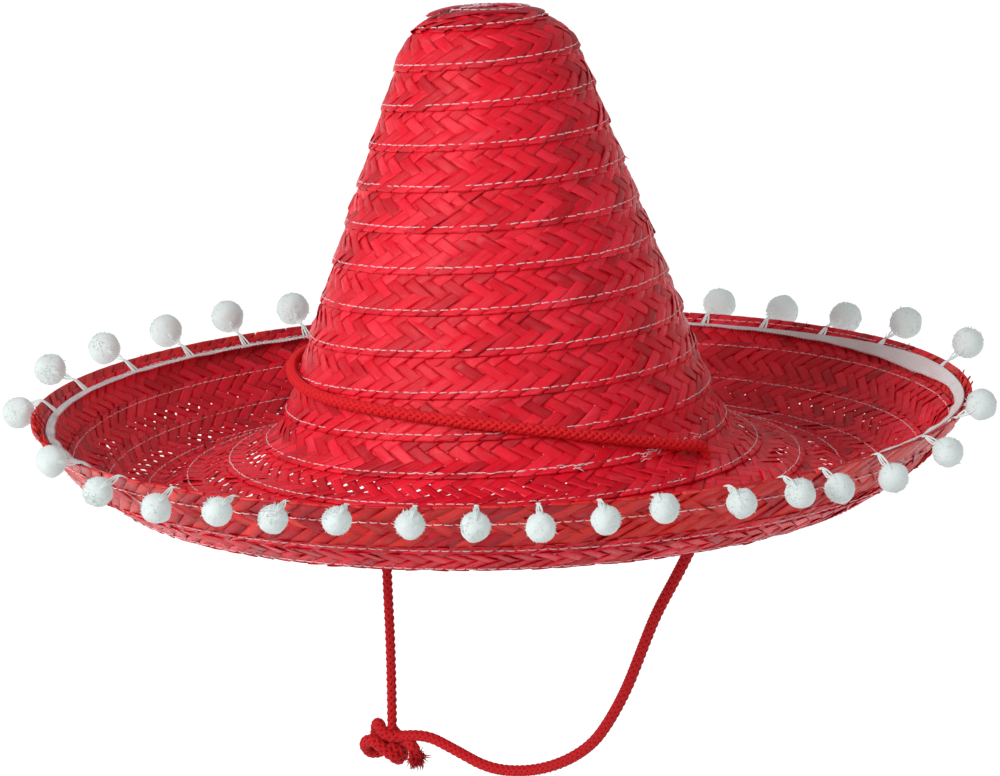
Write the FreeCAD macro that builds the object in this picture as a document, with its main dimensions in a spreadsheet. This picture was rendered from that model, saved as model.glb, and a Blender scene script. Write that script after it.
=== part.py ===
import FreeCAD, Part

import math
import os

from FreeCAD import Placement, Rotation, Vector

os.makedirs("parts", exist_ok=True)

# A sombrero is one long plaited straw strip, coiled from the tip of the crown down and out to the rim.
# Every course laps over the next one, and a thread is sewn through the lap. Millimetres, +Z up, the
# wearer faces -Y, and the origin is the centre of the head opening at the foot of the crown.
DIMENSIONS = {
    # Profile of the hat: corners of its section (radius, height), each rounded with a radius.
    "tip_height": 185.7,
    "shoulder_r": 34.0,
    "shoulder_z": 184.5,
    "shoulder_round": 31.0,
    "foot_r": 106.3,
    "foot_z": -16.6,
    "foot_round": 37.0,
    "valley_r": 176.5,
    "valley_z": -40.6,
    "valley_round": 27.0,
    "wall_r": 203.0,
    "wall_z": -22.1,
    "wall_round": 60.0,
    "rim_r": 223.5,
    "rim_z": 2.0,
    "side_rise": 0.6,
    "back_rise": 2.5,
    # Plaited strip and its spiral.
    "strip_thick": 1.1,
    "strip_gap": 0.25,
    "lap_above": 2.6,
    "lap_below": 2.4,
    "crown_pitch": 19.0,
    "brim_pitch": 21.2,
    "rim_pitch": 12.3,
    "crown_turns": 12.6,
    "brim_turns": 18.5,
    "rim_turns": 19.28,
    "start_turn": 0.28,
    "strip_end_angle": 20.0,
    # Start of the strip, folded flat on top of the tip.
    "button_r": 11.0,
    "button_thick": 1.3,
    "button_lift": 1.5,
    # Sewing thread.
    "thread_width": 0.8,
    "thread_thick": 0.45,
    "thread_lift": 0.1,
    # Trim tape inside the rim.
    "tape_width": 6.0,
    "tape_thick": 0.6,
    "tape_inset": 7.5,
    "tape_lift": 3.8,
    # Pompoms and their stems of thread. The ones at the back are larger and the ones in front smaller.
    "pompom_r": 7.8,
    "pompom_r_back": 1.4,
    "pompom_reach": 12.5,
    "stem_start": 1.0,
    "stem_width": 2.2,
    "stem_thick": 0.8,
    "pivot_out": 1.5,
    "pivot_lift": 1.3,
    # Braided chin cord and its knot.
    "cord_dia": 5.0,
    "cord_hole_dia": 6.2,
    "knot_length": 26.0,
    "knot_width": 18.0,
    "knot_height": 21.0,
}

doc = FreeCAD.newDocument("sombrero")
sheet = doc.addObject("Spreadsheet::Sheet", "dimensions")
for row, (alias, value) in enumerate(DIMENSIONS.items(), start=1):
    sheet.set("A%d" % row, alias)
    sheet.set("B%d" % row, str(value))
    sheet.setAlias("B%d" % row, alias)
doc.recompute()


def dim(alias):
    return float(getattr(sheet, alias))


# ---------------------------------------------------------------- profile of the hat


def profile_runs():
    """The section as straight runs and tangent arcs, from the tip to the rim: [(length, function)]."""
    corners = [
        (0.0, dim("tip_height"), 0.0),
        (dim("shoulder_r"), dim("shoulder_z"), dim("shoulder_round")),
        (dim("foot_r"), dim("foot_z"), dim("foot_round")),
        (dim("valley_r"), dim("valley_z"), dim("valley_round")),
        (dim("wall_r"), dim("wall_z"), dim("wall_round")),
        (dim("rim_r"), dim("rim_z"), 0.0),
    ]
    runs = []
    here = corners[0][:2]
    for before, corner, after in zip(corners, corners[1:], corners[2:]):
        heading = math.atan2(corner[1] - before[1], corner[0] - before[0])
        leaving = math.atan2(after[1] - corner[1], after[0] - corner[0])
        turn = leaving - heading
        radius = corner[2]
        setback = radius * math.tan(abs(turn) / 2)
        start = (corner[0] - setback * math.cos(heading), corner[1] - setback * math.sin(heading))
        runs.append(("line", here, heading, math.dist(here, start), 0.0))
        runs.append(("arc", start, heading, radius * abs(turn), math.copysign(1 / radius, turn)))
        here = (corner[0] + setback * math.cos(leaving), corner[1] + setback * math.sin(leaving))
    last = corners[-1][:2]
    heading = math.atan2(last[1] - here[1], last[0] - here[0])
    runs.append(("line", here, heading, math.dist(here, last), 0.0))
    return runs


RUNS = profile_runs()
RISE_POWER = 4
RIM = sum(run[3] for run in RUNS)


def profile(along):
    """Radius, height and heading of the section at this distance from the tip, measured on the strip."""
    for kind, start, heading, length, bend in RUNS:
        if along <= length or (kind, start) == RUNS[-1][:2]:
            break
        along -= length
    if kind == "line":
        return start[0] + along * math.cos(heading), start[1] + along * math.sin(heading), heading
    turned = heading + bend * along
    r = start[0] + (math.sin(turned) - math.sin(heading)) / bend
    z = start[1] - (math.cos(turned) - math.cos(heading)) / bend
    return r, z, turned


def hat_point(along, angle, lift=0.0):
    """A point of the hat: distance from the tip, angle round it in degrees, height above the strip's back."""
    r, z, heading = profile(along)
    r -= lift * math.sin(heading)
    z += lift * math.cos(heading)
    turn = math.radians(angle)
    rise = dim("side_rise") * math.cos(turn) ** 2 + dim("back_rise") * math.sin(turn)
    z += rise * (r / dim("rim_r")) ** RISE_POWER
    return Vector(r * math.cos(turn), r * math.sin(turn), z)


# ---------------------------------------------------------------- spiral of the strip

SECTION_STEP = 1 / 24
FULL_TURN = 360.0
STRIP_SAMPLES = 6
FLAT_SAMPLES = 3
END_TURN = dim("rim_turns")


def seam(turns):
    """Distance of the seam from the tip after this many turns of the spiral."""
    crown = min(turns, dim("crown_turns"))
    brim = min(max(turns - dim("crown_turns"), 0.0), dim("brim_turns") - dim("crown_turns"))
    rim = max(turns - dim("brim_turns"), 0.0)
    return crown * dim("crown_pitch") + brim * dim("brim_pitch") + rim * dim("rim_pitch")


def spiral_angle(turns):
    """The strip runs clockwise seen from above, so its angle falls as it goes out."""
    return dim("strip_end_angle") + FULL_TURN * (END_TURN - turns)


def section_wire(angle, inner, outer, lift_inner, lift_outer, thick, samples=STRIP_SAMPLES):
    """Closed section of a band in the plane at this angle, between two distances from the tip."""
    backs = []
    faces = []
    for i in range(samples):
        share = i / (samples - 1)
        along = inner + share * (outer - inner)
        lift = lift_inner + share * (lift_outer - lift_inner)
        backs.append(hat_point(along, angle, lift))
        faces.append(hat_point(along, angle, lift + thick))
    face = Part.BSplineCurve()
    face.interpolate(faces)
    back = Part.BSplineCurve()
    back.interpolate(backs[::-1])
    sides = [
        face.toShape(),
        Part.LineSegment(faces[-1], backs[-1]).toShape(),
        back.toShape(),
        Part.LineSegment(backs[0], faces[0]).toShape(),
    ]
    return Part.Wire(sides)


def spiral_band(first, last, edges):
    """Solid of a band that follows the spiral. edges(turns) gives section_wire's arguments after the angle."""
    count = round((last - first) / SECTION_STEP)
    wires = []
    for i in range(count + 1):
        turns = first + (last - first) * i / count
        wires.append(section_wire(spiral_angle(turns), *edges(turns)))
    return Part.makeLoft(wires, True, False)


def strip_edges(turns):
    """Inner and outer edge of the strip and how far its back lies off the profile at each."""
    inner = seam(turns) - dim("lap_above")
    outer = seam(turns + 1) + dim("lap_below")
    slope = (dim("strip_thick") + dim("strip_gap")) / (seam(turns + 1) - seam(turns))
    return inner, outer, 0.0, slope * (outer - inner), dim("strip_thick")


def rim_edges(turns):
    """The last course narrows as the sewn lap closes in on the rim."""
    inner = seam(turns) - dim("lap_above")
    slope = (dim("strip_thick") + dim("strip_gap")) / dim("crown_pitch")
    return inner, RIM, 0.0, slope * (RIM - inner), dim("strip_thick")


def thread_edges(turns):
    """The thread lies on the face of the course above, lap_below from that course's outer edge."""
    middle = seam(turns)
    inner, outer, lift_inner, lift_outer, thick = strip_edges(turns - 1)
    slope = (lift_outer - lift_inner) / (outer - inner)
    lift = slope * (middle - inner) + thick + dim("thread_lift")
    half = dim("thread_width") / 2
    low = lift - slope * half
    high = lift + slope * half
    return middle - half, middle + half, low, high, dim("thread_thick"), FLAT_SAMPLES


def feature(label, shape):
    piece = doc.addObject("Part::Feature", label)
    piece.Label = label
    piece.Shape = shape
    piece.Placement = Placement()
    return piece


# ---------------------------------------------------------------- straw courses

CROWN_COURSES = 12
BRIM_COURSES = 5
COURSE_NAMES = ["crown_course_%02d" % (i + 1) for i in range(CROWN_COURSES)]
COURSE_NAMES += ["crown_foot_course"]
COURSE_NAMES += ["brim_course_%02d" % (i + 1) for i in range(BRIM_COURSES)]
COURSE_NAMES += ["rim_course"]

courses = {}
for number, name in enumerate(COURSE_NAMES):
    first = dim("start_turn") + number
    edges = rim_edges if name == "rim_course" else strip_edges
    courses[name] = (first, spiral_band(first, first + 1, edges))

# ---------------------------------------------------------------- chin cord

# The cord is sewn to nothing: it lies round the front of the crown and goes in through two holes.
# Its route there, from the right hole to the left one: angle, distance from the tip, height off the strip.
CROWN_ROUTE = [
    (318.0, 240.7, 6.6),
    (304.0, 231.0, 6.6),
    (290.0, 224.0, 6.6),
    (276.0, 219.0, 6.6),
    (262.0, 215.8, 6.6),
    (248.0, 213.0, 6.6),
    (234.0, 211.5, 6.6),
    (220.0, 210.5, 6.6),
    (206.0, 209.2, 6.6),
    (191.0, 207.0, 6.6),
    (176.0, 205.0, 6.6),
    (162.0, 204.2, 6.6),
    (150.0, 205.0, 6.6),
    (140.5, 206.3, 6.6),
    (135.7, 210.3, 6.3),
    (133.9, 216.5, 4.0),
    (133.1, 222.6, -3.6),
]
# Where it comes up through the right hole, and the two legs that hang from the holes to the knot.
RIGHT_HOLE = [(92.6, -66.3, -21.5), (93.0, -66.7, -15.0), (90.5, -69.6, -9.5)]
LEFT_LEG = [
    (-60.6, 66.4, -20.5),
    (-60.2, 66.1, -52.0),
    (-60.9, 66.8, -100.0),
    (-60.3, 66.3, -146.0),
    (-61.5, 67.4, -183.5),
]
RIGHT_LEG = [
    (-56.5, 62.9, -185.3),
    (-45.0, 52.9, -181.0),
    (-30.0, 39.9, -185.5),
    (-12.0, 24.3, -191.8),
    (7.5, 7.4, -188.3),
    (24.5, -7.3, -179.5),
    (38.5, -19.4, -166.8),
    (47.5, -27.2, -151.5),
    (55.5, -34.1, -134.0),
    (62.3, -40.0, -114.5),
    (69.3, -46.1, -95.0),
    (78.2, -53.8, -76.5),
    (86.5, -61.0, -58.0),
    (91.4, -65.2, -38.5),
    (92.6, -66.3, -21.5),
]
FIRST_LEFT_RUN = 8.0
HOLE_POINTS = 4
ARC_SHARE = 0.45


def rounded_path(label, points):
    """Straight runs joined by tangent arcs, each arc as large as its two runs allow."""
    edges = []
    radii = []
    here = points[0]
    for before, corner, after in zip(points, points[1:], points[2:]):
        run_in = (corner - before).normalize()
        run_out = (after - corner).normalize()
        turn = run_in.getAngle(run_out)
        setback = ARC_SHARE * min(before.distanceToPoint(corner), corner.distanceToPoint(after))
        radius = setback / math.tan(turn / 2)
        start = corner - run_in * setback
        end = corner + run_out * setback
        inward = (run_out - run_in).normalize()
        middle = corner + inward * (radius / math.cos(turn / 2) - radius)
        edges.append(Part.LineSegment(here, start).toShape())
        edges.append(Part.Arc(start, middle, end).toShape())
        radii.append(radius)
        here = end
    edges.append(Part.LineSegment(here, points[-1]).toShape())
    print(label, "length %.1f" % sum(edge.Length for edge in edges), "radii", [round(r, 1) for r in radii])
    return Part.Wire(edges)


def round_tube(path, first, second, diameter):
    """Solid of a round cord along the path, whose first run goes from the first point to the second."""
    ring = Part.Circle(first, second - first, diameter / 2).toShape()
    return path.makePipeShell([Part.Wire([ring])], True, True)


crown_points = [Vector(*point) for point in RIGHT_HOLE]
crown_points += [hat_point(along, angle, lift) for angle, along, lift in CROWN_ROUTE]
inside_left = crown_points[-1]
left_points = [inside_left, inside_left + (inside_left - crown_points[-2]).normalize() * FIRST_LEFT_RUN]
left_points += [Vector(*point) for point in LEFT_LEG]
right_points = [Vector(*point) for point in RIGHT_LEG]

for name, points in (
    ("chin_cord_crown_run", crown_points),
    ("chin_cord_leg_left", left_points),
    ("chin_cord_leg_right", right_points),
):
    path = rounded_path(name, points)
    tube = round_tube(path, points[0], points[1], dim("cord_dia"))
    expected = math.pi * dim("cord_dia") ** 2 / 4 * path.Length
    print(name, "volume %.0f, section times length %.0f" % (tube.Volume, expected))
    feature(name, tube)

# The holes are pushed through between the ribbons along the cord's own way.
right_end = crown_points[:HOLE_POINTS]
left_end = crown_points[-HOLE_POINTS:]
for name, points in (("crown_foot_course", right_end), ("crown_course_11", left_end)):
    path = rounded_path("hole in " + name, points)
    cutter = round_tube(path, points[0], points[1], dim("cord_hole_dia"))
    first, solid = courses[name]
    courses[name] = (first, solid.cut(cutter))

for name, (first, solid) in courses.items():
    feature(name, solid)

# ---------------------------------------------------------------- start of the strip

button = doc.addObject("Part::Cylinder", "crown_tip_disc")
button.setExpression("Radius", "dimensions.button_r")
button.setExpression("Height", "dimensions.button_thick")
doc.recompute()
fold = doc.addObject("Part::Fillet", "crown_tip")
fold.Base = button
round_edge = dim("button_thick") * ARC_SHARE
circles = [i for i, edge in enumerate(button.Shape.Edges, start=1) if edge.isClosed()]
fold.Edges = [(number, round_edge, round_edge) for number in circles]
fold.Label = "crown_tip"
fold.Placement = Placement(Vector(0, 0, dim("tip_height") + dim("button_lift")), Rotation())

# ---------------------------------------------------------------- sewing thread

thread_turns = []
for number in range(len(COURSE_NAMES) - 1):
    first = dim("start_turn") + number + 1
    thread_turns.append(spiral_band(first, first + 1, thread_edges))
feature("seam_thread", Part.makeCompound(thread_turns))

# ---------------------------------------------------------------- tape and pompoms

# Where each pompom is tied (angle round the rim) and how high its stem points, both in degrees.
POMPOMS = [
    (10.0, 40), (27.5, 30), (39.5, 10), (50.0, 5), (59.5, 10), (68.5, 10), (78.5, 15), (88.5, 10),
    (98.5, 25), (108.5, 20), (118.5, 35), (128.5, 40), (138.5, 30), (150.0, 25), (163.0, 20), (176.0, -30),
    (213.0, 10), (222.0, -25), (231.0, -35), (239.5, -20), (246.0, -25), (253.0, -20), (260.5, -25),
    (267.0, -30), (273.5, -40), (280.0, -30), (286.0, -15), (294.5, -25), (301.5, -25), (307.0, -35),
    (316.0, -50), (326.0, -30), (336.5, 30),
]
ROOT_LAP = 1.5
ROOT_RISE = 0.15
ROOT_OVERHANG = 1.6
ROOT_FOOT = 2.25
HALF_TURN = 180.0
TAPE_SECTIONS = 12


def rim_frame(angle):
    """Edge of the rim at this angle, the direction on past it, and the direction up off the strip."""
    edge = hat_point(RIM, angle)
    onward = (edge - hat_point(RIM - 1, angle)).normalize()
    sideways = Rotation(Vector(0, 0, 1), angle) * Vector(0, 1, 0)
    return edge, onward, onward.cross(sideways), sideways


def stem_root(angle):
    """Flat thread band from the tape over the edge of the rim, bent down to the stem's pivot."""
    edge, onward, up, sideways = rim_frame(angle)
    low = dim("tape_lift") + ROOT_RISE
    high = low + dim("stem_thick")
    turned = ROOT_OVERHANG - dim("stem_thick")
    back = -dim("tape_inset") - ROOT_LAP
    outline = [(back, low), (back, high), (ROOT_OVERHANG, high), (ROOT_OVERHANG, ROOT_FOOT)]
    outline += [(turned, ROOT_FOOT), (turned, low), (back, low)]
    corners = [edge + onward * a + up * b - sideways * (dim("stem_width") / 2) for a, b in outline]
    return Part.Face(Part.makePolygon(corners)).extrude(sideways * dim("stem_width"))


def tape_half(first_angle):
    """Half of the tape ring, whose outer edge lies tape_inset inside the rim."""
    outer = RIM - dim("tape_inset")
    inner = outer - dim("tape_width")
    lift = dim("tape_lift")
    wires = []
    for i in range(TAPE_SECTIONS + 1):
        angle = first_angle + HALF_TURN * i / TAPE_SECTIONS
        wires.append(section_wire(angle, inner, outer, lift, lift, dim("tape_thick"), FLAT_SAMPLES))
    return Part.makeLoft(wires, True, False)


roots = [stem_root(angle) for angle, tilt in POMPOMS]
feature("pompom_tape", tape_half(0.0).multiFuse([tape_half(HALF_TURN)] + roots))

for number, (angle, tilt) in enumerate(POMPOMS, start=1):
    label = "pompom_%02d" % number
    ball = doc.addObject("Part::Sphere", label + "_ball")
    ball.setExpression("Radius", "dimensions.pompom_r + dimensions.pompom_r_back * sin(%.1f deg)" % angle)
    ball.setExpression("Placement.Base.x", "dimensions.pompom_reach")
    stem = doc.addObject("Part::Box", label + "_stem")
    stem.setExpression("Length", "dimensions.pompom_reach - dimensions.stem_start")
    stem.setExpression("Width", "dimensions.stem_width")
    stem.setExpression("Height", "dimensions.stem_thick")
    stem.setExpression("Placement.Base.x", "dimensions.stem_start")
    stem.setExpression("Placement.Base.y", "-dimensions.stem_width / 2")
    stem.setExpression("Placement.Base.z", "-dimensions.stem_thick / 2")
    pompom = doc.addObject("Part::Fuse", label)
    pompom.Base = ball
    pompom.Tool = stem
    pompom.Label = label
    edge, onward, up, sideways = rim_frame(angle)
    pivot = edge + onward * dim("pivot_out") + up * dim("pivot_lift")
    raised = Rotation(Vector(0, 0, 1), angle) * Rotation(Vector(0, 1, 0), -tilt)
    pompom.Placement = Placement(pivot, raised)
    print(label, "pivot", [round(value, 2) for value in pivot])

# ---------------------------------------------------------------- knot

# The two ends of the cord are tied together in one lump with two short frayed tails.
KNOT_CENTRE = Vector(-64.5, 70.0, -190.5)
KNOT_TURN = -40.9
TAILS = [Vector(16.5, -14.0, -5.0), Vector(-13.5, 11.5, -6.5)]

lump = doc.addObject("Part::Ellipsoid", "knot_lump")
lump.setExpression("Radius1", "dimensions.knot_height / 2")
lump.setExpression("Radius2", "dimensions.knot_length / 2")
lump.setExpression("Radius3", "dimensions.knot_width / 2")
lump.Placement = Placement(Vector(), Rotation(Vector(0, 0, 1), KNOT_TURN))
knot_parts = [lump]
for number, reach in enumerate(TAILS, start=1):
    tail = doc.addObject("Part::Cylinder", "knot_tail_%d" % number)
    tail.setExpression("Radius", "dimensions.cord_dia / 2")
    tail.Height = reach.Length
    tail.Placement = Placement(Vector(), Rotation(Vector(0, 0, 1), reach))
    knot_parts.append(tail)
knot = doc.addObject("Part::MultiFuse", "chin_knot")
knot.Shapes = knot_parts
knot.Label = "chin_knot"
knot.Placement = Placement(KNOT_CENTRE, Rotation())

doc.recompute()

# ---------------------------------------------------------------- checks and export

nodes = COURSE_NAMES + ["crown_tip", "seam_thread", "pompom_tape"]
nodes += ["pompom_%02d" % (i + 1) for i in range(len(POMPOMS))]
nodes += ["chin_cord_crown_run", "chin_cord_leg_left", "chin_cord_leg_right", "chin_knot"]
for item in doc.Objects:
    if "Invalid" in item.State or "Error" in item.State:
        raise RuntimeError("%s failed: %s" % (item.Label, item.State))
pieces = {name: doc.getObjectsByLabel(name)[0].Shape for name in nodes}
for name, shape in pieces.items():
    if shape.isNull() or not shape.isValid():
        raise RuntimeError("%s has no valid shape" % name)
    print(name, "volume %.1f solids %d" % (shape.Volume, len(shape.Solids)))
for name, shape in pieces.items():
    shape.exportStep("parts/%s.step" % name)
print(len(pieces), "nodes")
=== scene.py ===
import math

import bmesh
import bpy
import numpy as np
from mathutils import Matrix, Vector


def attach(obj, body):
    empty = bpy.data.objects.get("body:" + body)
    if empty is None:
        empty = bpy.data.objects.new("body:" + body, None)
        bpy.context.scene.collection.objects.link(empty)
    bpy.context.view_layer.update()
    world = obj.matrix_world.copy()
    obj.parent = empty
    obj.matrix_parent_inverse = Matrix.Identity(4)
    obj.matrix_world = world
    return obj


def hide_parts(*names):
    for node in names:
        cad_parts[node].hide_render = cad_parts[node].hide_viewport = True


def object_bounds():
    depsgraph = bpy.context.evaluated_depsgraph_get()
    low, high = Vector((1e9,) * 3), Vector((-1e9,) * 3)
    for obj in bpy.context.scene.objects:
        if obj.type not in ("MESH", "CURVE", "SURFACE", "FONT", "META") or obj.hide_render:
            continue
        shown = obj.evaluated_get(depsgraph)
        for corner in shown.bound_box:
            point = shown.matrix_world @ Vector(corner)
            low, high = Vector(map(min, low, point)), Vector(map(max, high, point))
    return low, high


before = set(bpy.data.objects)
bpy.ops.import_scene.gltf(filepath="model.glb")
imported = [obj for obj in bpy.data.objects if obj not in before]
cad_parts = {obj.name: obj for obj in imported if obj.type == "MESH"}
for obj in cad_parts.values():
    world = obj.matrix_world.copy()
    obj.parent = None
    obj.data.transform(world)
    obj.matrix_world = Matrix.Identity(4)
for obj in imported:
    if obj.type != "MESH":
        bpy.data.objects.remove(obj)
cad_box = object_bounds()

MM = 0.001

# ---- the hat's surface, in millimetres
# Section of the hat as the CAD draws it: corners (radius, height), each rounded with a radius.
CORNERS = [
    (0.0, 185.7, 0.0),
    (34.0, 184.5, 31.0),
    (106.3, -16.6, 37.0),
    (176.5, -40.6, 27.0),
    (203.0, -22.1, 60.0),
    (223.5, 2.0, 0.0),
]
RIM_R = 223.5
SIDE_RISE, BACK_RISE = 0.6, 2.5
CROWN_PITCH, BRIM_PITCH, RIM_PITCH = 19.0, 21.2, 12.3
CROWN_TURNS, BRIM_TURNS, END_TURN = 12.6, 18.5, 19.28
START_TURN = 0.28
TURN_STEP = 0.002
LAP_ABOVE, LAP_BELOW = 2.6, 2.4
LAP_LIFT = 1.35


def profile_table(step=0.25):
    """Radius, height and heading of the section against the distance from the tip."""
    runs = []
    here = CORNERS[0][:2]
    for before, corner, after in zip(CORNERS, CORNERS[1:], CORNERS[2:]):
        heading = math.atan2(corner[1] - before[1], corner[0] - before[0])
        turn = math.atan2(after[1] - corner[1], after[0] - corner[0]) - heading
        setback = corner[2] * math.tan(abs(turn) / 2)
        start = (corner[0] - setback * math.cos(heading), corner[1] - setback * math.sin(heading))
        runs.append((here, heading, math.dist(here, start), 0.0))
        runs.append((start, heading, corner[2] * abs(turn), math.copysign(1 / corner[2], turn)))
        leaving = heading + turn
        here = (corner[0] + setback * math.cos(leaving), corner[1] + setback * math.sin(leaving))
    end = CORNERS[-1][:2]
    runs.append((here, math.atan2(end[1] - here[1], end[0] - here[0]), math.dist(here, end), 0.0))
    total = sum(run[2] for run in runs)
    us = np.append(np.arange(0, total, step), total)
    rows = np.zeros((len(us), 3))
    done = 0.0
    for i, (start, heading, length, bend) in enumerate(runs):
        last = i == len(runs) - 1
        pick = (us >= done) & ((us <= done + length) | last)
        a = us[pick] - done
        if bend:
            turned = heading + bend * a
            rows[pick, 0] = start[0] + (np.sin(turned) - math.sin(heading)) / bend
            rows[pick, 1] = start[1] - (np.cos(turned) - math.cos(heading)) / bend
            rows[pick, 2] = turned
        else:
            rows[pick, 0] = start[0] + a * math.cos(heading)
            rows[pick, 1] = start[1] + a * math.sin(heading)
            rows[pick, 2] = heading
        done += length
    return us, rows, total


US, ROWS, RIM = profile_table()


def radius_at(u):
    return np.interp(u, US, ROWS[:, 0])


def surface(u, angle, lift):
    """Points (mm) at a distance from the tip, an angle in degrees round the hat and a height off its back."""
    u, angle, lift = np.broadcast_arrays(u, angle, lift)
    r = np.interp(u, US, ROWS[:, 0])
    z = np.interp(u, US, ROWS[:, 1])
    heading = np.interp(u, US, ROWS[:, 2])
    past = np.maximum(u - RIM, 0.0)
    before = np.minimum(u, 0.0)
    r = r + past * np.cos(heading) + before
    z = z + past * np.sin(heading)
    r = r - lift * np.sin(heading)
    z = z + lift * np.cos(heading)
    a = np.radians(angle)
    z = z + (SIDE_RISE * np.cos(a) ** 2 + BACK_RISE * np.sin(a)) * (np.abs(r) / RIM_R) ** 4
    return np.stack([r * np.cos(a), r * np.sin(a), z], axis=-1)


def seam(turns):
    turns = np.asarray(turns, float)
    crown = np.minimum(turns, CROWN_TURNS)
    brim = np.clip(turns - CROWN_TURNS, 0, BRIM_TURNS - CROWN_TURNS)
    rim = np.maximum(turns - BRIM_TURNS, 0)
    return crown * CROWN_PITCH + brim * BRIM_PITCH + rim * RIM_PITCH


def spiral_angle(turns):
    return 20.0 + 360.0 * (END_TURN - np.asarray(turns, float))


# The strip as one long band: its length against the turns of the spiral.
TURNS = np.arange(-0.1, END_TURN + 0.6, TURN_STEP)
MID_R = np.maximum(radius_at(seam(np.maximum(TURNS, 0)) + 10.0), 6.0)
STRIP_X = np.concatenate([[0.0], np.cumsum(2 * np.pi * TURN_STEP * (MID_R[1:] + MID_R[:-1]) / 2)])


def turns_at(x):
    return np.interp(x, STRIP_X, TURNS)


def x_at(turns):
    return np.interp(turns, TURNS, STRIP_X)


# ---- mesh helpers


def build(name, points, quads, tris=None, material=None, smooth=True, data=None):
    """Mesh object from arrays: points in mm, quads and tris as vertex indices, data as point attributes."""
    points = np.asarray(points, float).reshape(-1, 3) * MM
    quads = np.asarray(quads, int).reshape(-1, 4)
    tris = np.zeros((0, 3), int) if tris is None else np.asarray(tris, int).reshape(-1, 3)
    mesh = bpy.data.meshes.new(name)
    mesh.vertices.add(len(points))
    mesh.vertices.foreach_set("co", points.ravel())
    mesh.loops.add(quads.size + tris.size)
    mesh.loops.foreach_set("vertex_index", np.concatenate([quads.ravel(), tris.ravel()]))
    mesh.polygons.add(len(quads) + len(tris))
    starts = np.concatenate([np.arange(len(quads)) * 4, quads.size + np.arange(len(tris)) * 3])
    mesh.polygons.foreach_set("loop_start", starts)
    mesh.update(calc_edges=True)
    mesh.polygons.foreach_set("use_smooth", np.full(len(mesh.polygons), smooth))
    for key, values in (data or {}).items():
        values = np.asarray(values, float)
        kind = "FLOAT" if values.ndim == 1 else "FLOAT_VECTOR"
        layer = mesh.attributes.new(key, kind, "POINT")
        layer.data.foreach_set("value" if kind == "FLOAT" else "vector", values.ravel())
    if material:
        mesh.materials.append(material)
    obj = bpy.data.objects.new(name, mesh)
    bpy.context.scene.collection.objects.link(obj)
    return obj


def merge(parts):
    """Several (points, quads, tris, data) as one."""
    points, quads, tris, data = [], [], [], {}
    offset = 0
    for part in parts:
        p = np.asarray(part[0]).reshape(-1, 3)
        points.append(p)
        quads.append(np.asarray(part[1], int).reshape(-1, 4) + offset)
        tris.append(np.asarray(part[2], int).reshape(-1, 3) + offset)
        for key, values in part[3].items():
            data.setdefault(key, []).append(values)
        offset += len(p)
    data = {key: np.concatenate(values) for key, values in data.items()}
    return np.concatenate(points), np.concatenate(quads), np.concatenate(tris), data


def grid_quads(count, rows, ring, closed=True):
    """Quads of `count` tubes, each of `rows` rings with `ring` points."""
    across = ring if closed else ring - 1
    i = np.arange(rows - 1)[:, None] * ring
    j = np.arange(across)[None, :]
    k = (j + 1) % ring
    one = np.stack([i + j, i + k, i + ring + k, i + ring + j], axis=-1).reshape(-1, 4)
    return (one[None] + np.arange(count)[:, None, None] * rows * ring).reshape(-1, 4)


def outward(points, quads):
    """The same quads, turned so that the closed surface faces outward."""
    p = np.asarray(points).reshape(-1, 3)
    a, b, c, d = (p[quads[:, i]] for i in range(4))
    volume = np.einsum("ij,ij->", a, np.cross(b, c)) + np.einsum("ij,ij->", a, np.cross(c, d))
    return quads if volume > 0 else quads[:, ::-1]


def end_caps(count, rows, ring):
    """Fans that close both ends of tubes with an even number of ring points."""
    quads = []
    for base, flip in ((0, False), ((rows - 1) * ring, True)):
        for k in range(ring // 2 - 1):
            face = [base + k, base + k + 1, base + ring - 2 - k, base + ring - 1 - k]
            quads.append(face if flip else face[::-1])
    one = np.array(quads)
    return (one[None] + np.arange(count)[:, None, None] * rows * ring).reshape(-1, 4)


def tubes(paths, radii, up, sides=6):
    """Closed tubes along paths (n, m, 3); radii (n, m); up (n, m, 3) a direction off the path."""
    paths = np.asarray(paths, float)
    n, m = paths.shape[:2]
    along = np.gradient(paths, axis=1)
    along /= np.maximum(np.linalg.norm(along, axis=-1, keepdims=True), 1e-9)
    side = np.cross(along, up)
    side /= np.maximum(np.linalg.norm(side, axis=-1, keepdims=True), 1e-9)
    top = np.cross(side, along)
    turn = 2 * np.pi * np.arange(sides) / sides
    ring = (
        np.cos(turn)[None, None, :, None] * top[:, :, None, :]
        + np.sin(turn)[None, None, :, None] * side[:, :, None, :]
    )
    points = paths[:, :, None, :] + ring * np.broadcast_to(radii, (n, m))[:, :, None, None]
    quads = np.concatenate([grid_quads(n, m, sides), end_caps(n, m, sides)])
    points = points.reshape(-1, 3)
    return points, outward(points, quads)


def transported(path):
    """A steady direction off the path, carried along it without twisting."""
    along = np.gradient(path, axis=0)
    along /= np.linalg.norm(along, axis=1, keepdims=True)
    guess = np.array([0.0, 0.0, 1.0]) if abs(along[0][2]) < 0.8 else np.array([1.0, 0.0, 0.0])
    ups = np.zeros_like(path)
    up = guess
    for i, direction in enumerate(along):
        up = up - direction * (up @ direction)
        up /= np.linalg.norm(up)
        ups[i] = up
    return along, ups


def strand(path, radius):
    """One closed six-sided tube along a path."""
    return tubes(path[None], np.full((1, len(path)), radius), transported(path)[1][None] + 0.001)


def place_piece(name, mesh, material, node=None, body="hat", smooth=True):
    """Build a piece from (points, quads, tris, data), put it on its body and hide the CAD part of the node it
    stands for.
    """
    points, quads, tris, data = mesh
    piece = build(name, points, quads, tris, material, smooth, data)
    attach(piece, body)
    if node:
        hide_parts(node)
    return piece


# ---- materials


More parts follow.
